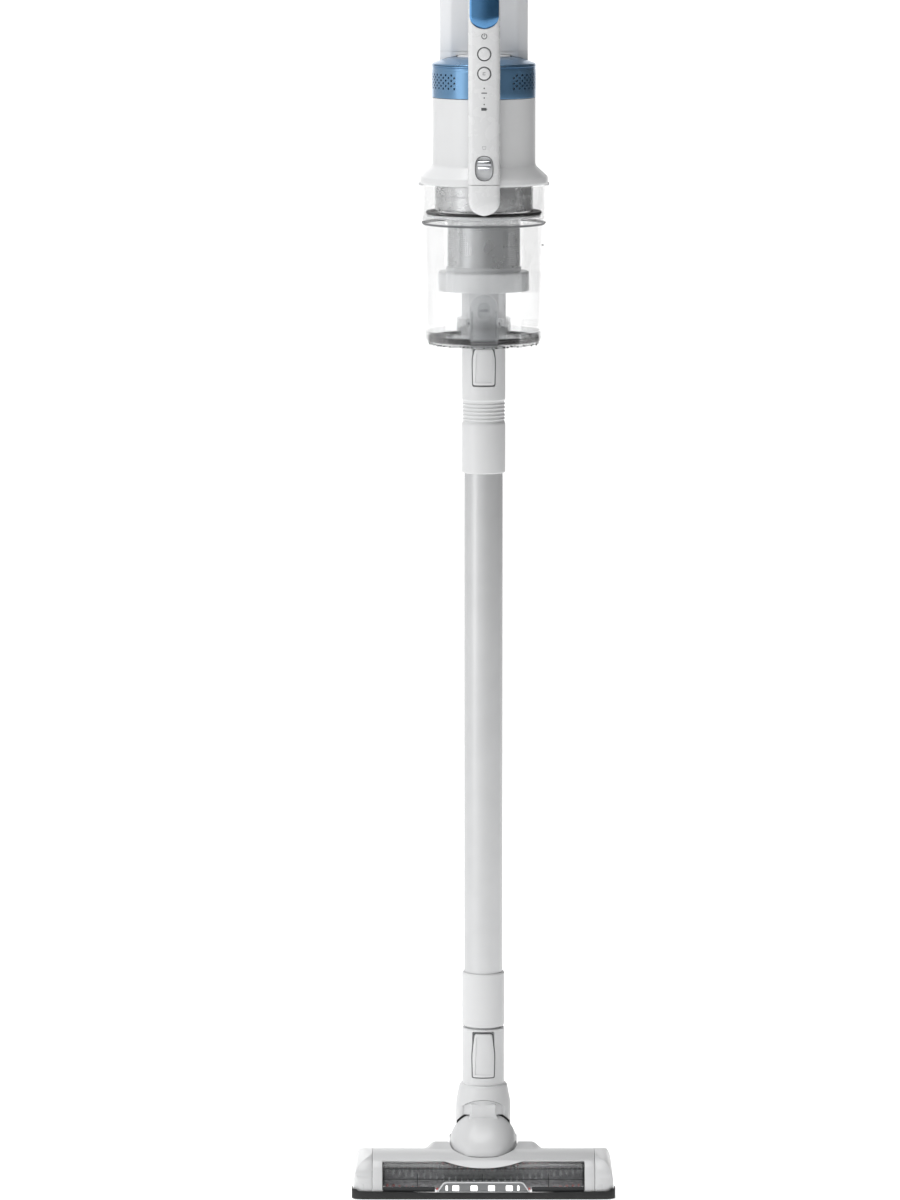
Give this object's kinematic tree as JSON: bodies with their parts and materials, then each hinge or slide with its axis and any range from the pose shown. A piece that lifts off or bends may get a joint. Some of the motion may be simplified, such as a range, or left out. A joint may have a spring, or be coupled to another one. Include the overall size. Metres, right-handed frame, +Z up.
{
  "type": "cordless stick vacuum",
  "caption": "Upright cordless stick vacuum with a swivelling powered brush head, a slim wand, a clear cyclone bin, an in-line motor unit and a looped handle with a slide-off battery.",
  "frame": {"origin": "on the floor, centred under the wand's axis and under the whole machine", "axes": "+Z up along the wand; -Y towards the front of the head and the control strip; X across the head"},
  "size_m": [0.248, 0.152, 1.234],
  "materials": {
    "white_shell": "satin gloss",
    "pale_grey_shell": "satin",
    "blue_metallic": "metallic satin",
    "blue_gloss": "high gloss",
    "silver_tube": "satin painted",
    "dark_grey_plastic": "matte",
    "inner_grey": "matte",
    "clear_plastic": "clear polished",
    "black_rubber": "matte",
    "steel": "brushed",
    "screen_mesh": "perforated",
    "motor_can": "plain",
    "cell_wrap": "sleeved",
    "plated_trim": "plated",
    "brush_fibre": "pile",
    "filter_foam": "open cell",
    "filter_paper": "pleated",
    "circuit_board": "solder mask",
    "contact_brass": "plain"
  },
  "bodies": {
    "floor_head": {"head_chassis": "dark_grey_plastic", "head_cover": "white_shell", "brush_chamber": "dark_grey_plastic", "brush_window": "clear_plastic", "end_cap_left": "white_shell", "end_cap_right": "white_shell", "front_bumper": "black_rubber", "lamp_bar": "plated_trim", "lamp_board": "circuit_board", "sole_plate": "dark_grey_plastic", "brush_motor": "steel", "drive_belt": "black_rubber", "brush_bearing": "steel", "axle_left": "steel", "axle_right": "steel"},
    "brush": {"brush_core": "dark_grey_plastic", "brush_fibres": "brush_fibre", "brush_pulley": "inner_grey"},
    "brush_motor_rotor": {"motor_pulley": "steel"},
    "left_wheel": {"wheel_left": "black_rubber"},
    "right_wheel": {"wheel_right": "black_rubber"},
    "elbow": {"swivel_elbow": "white_shell"},
    "neck": {"swivel_neck": "white_shell"},
    "head_lever": {"head_release_lever": "white_shell"},
    "wand": {"wand_tube": "silver_tube", "wand_lower_collar": "white_shell", "wand_upper_fitting": "white_shell"},
    "wand_lever": {"wand_release_lever": "white_shell"},
    "lid": {"bin_lid": "clear_plastic", "lid_inlet_pipe": "inner_grey", "lid_seal": "black_rubber"},
    "bin": {"bin_shell": "clear_plastic", "lid_hinge_pin": "steel"},
    "latch": {"lid_latch": "clear_plastic"},
    "motor_unit": {"cyclone_cover": "inner_grey", "cyclone_seal": "black_rubber", "mesh_screen": "screen_mesh", "cyclone_skirt": "inner_grey", "inlet_duct": "inner_grey", "pre_filter": "filter_foam", "motor_case": "white_shell", "suction_motor": "motor_can", "motor_mount": "black_rubber", "exhaust_band": "blue_metallic", "exhaust_filter": "filter_paper", "motor_cap": "blue_metallic", "control_strip": "white_shell", "handle_insert": "blue_gloss", "handle_grip": "pale_grey_shell", "control_board": "circuit_board", "battery_dock": "pale_grey_shell", "battery_terminals": "contact_brass"},
    "fan": {"impeller": "inner_grey"},
    "power_key": {"power_button": "white_shell"},
    "mode_key": {"mode_button": "white_shell"},
    "bin_slider": {"bin_release_slider": "plated_trim"},
    "battery": {"battery_case": "pale_grey_shell", "battery_cover": "dark_grey_plastic", "battery_cells": "cell_wrap"},
    "battery_key": {"battery_button": "dark_grey_plastic"}
  },
  "joints": [
    {"name": "head_pitch", "type": "hinge", "parent": "floor_head", "child": "elbow", "pos_m": [0, 0.012, 0.028], "axis": [1, 0, 0], "range_deg": [-75, 0]},
    {"name": "neck_roll", "type": "hinge", "parent": "elbow", "child": "neck", "pos_m": [0, 0, 0.054], "axis": [0, 1, 0], "range_deg": [-40, 40]},
    {"name": "brush_spin", "type": "hinge", "parent": "floor_head", "child": "brush", "pos_m": [0, -0.041, 0.017], "axis": [1, 0, 0], "continuous": true},
    {"name": "brush_motor_spin", "type": "hinge", "parent": "floor_head", "child": "brush_motor_rotor", "pos_m": [-0.114, 0.005, 0.0185], "axis": [1, 0, 0], "continuous": true},
    {"name": "left_wheel_spin", "type": "hinge", "parent": "floor_head", "child": "left_wheel", "pos_m": [-0.089, 0.036, 0.011], "axis": [1, 0, 0], "continuous": true},
    {"name": "right_wheel_spin", "type": "hinge", "parent": "floor_head", "child": "right_wheel", "pos_m": [0.089, 0.036, 0.011], "axis": [1, 0, 0], "continuous": true},
    {"name": "head_lever_press", "type": "hinge", "parent": "neck", "child": "head_lever", "pos_m": [0, -0.0197, 0.1264], "axis": [1, 0, 0], "range_deg": [0, 5], "stiffness_Nm_per_rad": 0.5, "springref_deg": -5.73},
    {"name": "wand_off_head", "type": "slide", "parent": "neck", "child": "wand", "axis": [0, 0, 1], "range_m": [0, 0.05]},
    {"name": "wand_lever_press", "type": "hinge", "parent": "wand", "child": "wand_lever", "pos_m": [0, -0.0219, 0.7854], "axis": [1, 0, 0], "range_deg": [0, 5], "stiffness_Nm_per_rad": 0.5, "springref_deg": -5.73},
    {"name": "bin_off_wand", "type": "slide", "parent": "wand", "child": "lid", "axis": [0, 0, 1], "range_m": [0, 0.05]},
    {"name": "lid_open", "type": "hinge", "parent": "lid", "child": "bin", "pos_m": [0, 0.06, 0.811], "axis": [-1, 0, 0], "range_deg": [0, 95]},
    {"name": "latch_press", "type": "hinge", "parent": "bin", "child": "latch", "pos_m": [0, -0.0613, 0.825], "axis": [-1, 0, 0], "range_deg": [0, 5], "stiffness_Nm_per_rad": 0.5, "springref_deg": -5.73},
    {"name": "motor_unit_off_bin", "type": "slide", "parent": "bin", "child": "motor_unit", "axis": [0, 0, 1], "range_m": [0, 0.15]},
    {"name": "fan_spin", "type": "hinge", "parent": "motor_unit", "child": "fan", "pos_m": [0, 0, 0.972], "axis": [0, 0, 1], "continuous": true},
    {"name": "power_button_press", "type": "slide", "parent": "motor_unit", "child": "power_key", "axis": [0, 1, 0], "range_m": [0, 0.0012], "stiffness_N_per_m": 500, "springref_m": -0.002},
    {"name": "mode_button_press", "type": "slide", "parent": "motor_unit", "child": "mode_key", "axis": [0, 1, 0], "range_m": [0, 0.0012], "stiffness_N_per_m": 500, "springref_m": -0.002},
    {"name": "bin_release_slide", "type": "slide", "parent": "motor_unit", "child": "bin_slider", "axis": [0, 0, -1], "range_m": [0, 0.007], "stiffness_N_per_m": 200, "springref_m": -0.003},
    {"name": "battery_slide", "type": "slide", "parent": "motor_unit", "child": "battery", "axis": [0, 0, 1], "range_m": [0, 0.095]},
    {"name": "battery_button_press", "type": "slide", "parent": "battery", "child": "battery_key", "axis": [0, -1, 0], "range_m": [0, 0.002], "stiffness_N_per_m": 500, "springref_m": -0.002}
  ],
  "couplings": [
    {"joint": "brush_motor_spin", "follows": "brush_spin", "ratio": 2}
  ]
}
